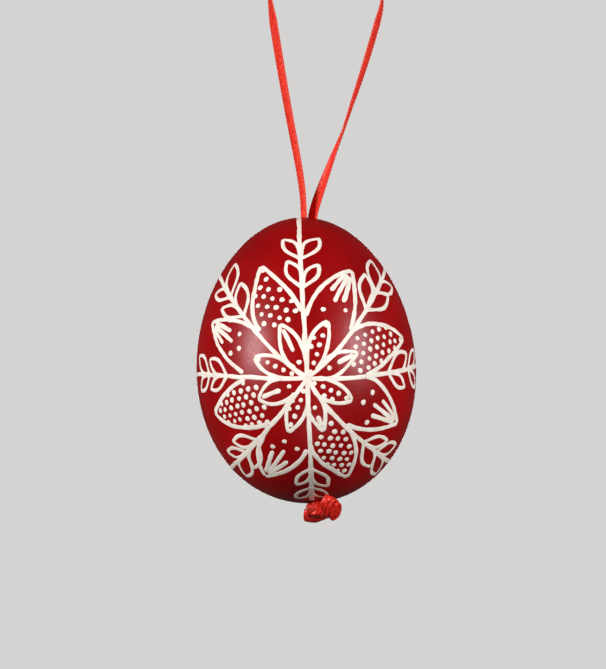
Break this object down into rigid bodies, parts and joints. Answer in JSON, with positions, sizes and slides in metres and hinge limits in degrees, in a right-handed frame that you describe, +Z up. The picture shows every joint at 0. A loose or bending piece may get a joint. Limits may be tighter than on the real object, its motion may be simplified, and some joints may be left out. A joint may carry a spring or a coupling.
{
  "type": "decorated egg ornament",
  "caption": "Hanging blown egg, dyed red with a wax-resist flower and sprigs, on a ribbon loop that runs through it and is knotted below.",
  "frame": {"origin": "the middle of the branch, peg or hook that the ribbon loop hangs over, halfway across the ribbon", "axes": "+Z up, +Y away from the viewer of the decorated face and along the branch, +X to that viewer's right"},
  "size_m": [0.0442, 0.0442, 0.1198],
  "materials": {
    "dyed_shell": "satin, dyed deep red",
    "bare_shell": "satin, cream where the wax kept the dye off",
    "membrane": "matt skin",
    "ribbon": "woven satin"
  },
  "bodies": {
    "ribbon_hanger": {"ribbon_seat": "ribbon"},
    "ribbon_strands": {"ribbon_left_strand": "ribbon", "ribbon_right_strand": "ribbon"},
    "ribbon_core": {"ribbon_inside_left": "ribbon", "ribbon_inside_right": "ribbon", "ribbon_knot": "ribbon", "ribbon_tails": "ribbon"},
    "egg": {"eggshell": "dyed_shell", "shell_membrane": "membrane"}
  },
  "joints": [
    {"name": "loop_swing", "type": "hinge", "parent": "ribbon_hanger", "child": "ribbon_strands", "pos_m": [-0.01113, 0, -0.00167], "axis": [0.9968, 0, -0.0795], "range_deg": [-30, 30]},
    {"name": "egg_rock", "type": "hinge", "parent": "ribbon_strands", "child": "ribbon_core", "pos_m": [-0.00395, 0, -0.0458], "axis": [0, 1, 0], "range_deg": [-15, 15]},
    {"name": "egg_spin", "type": "hinge", "parent": "ribbon_core", "child": "egg", "pos_m": [-0.00395, 0, -0.0458], "axis": [-0.0409, 0, 0.9992], "continuous": true}
  ]
}
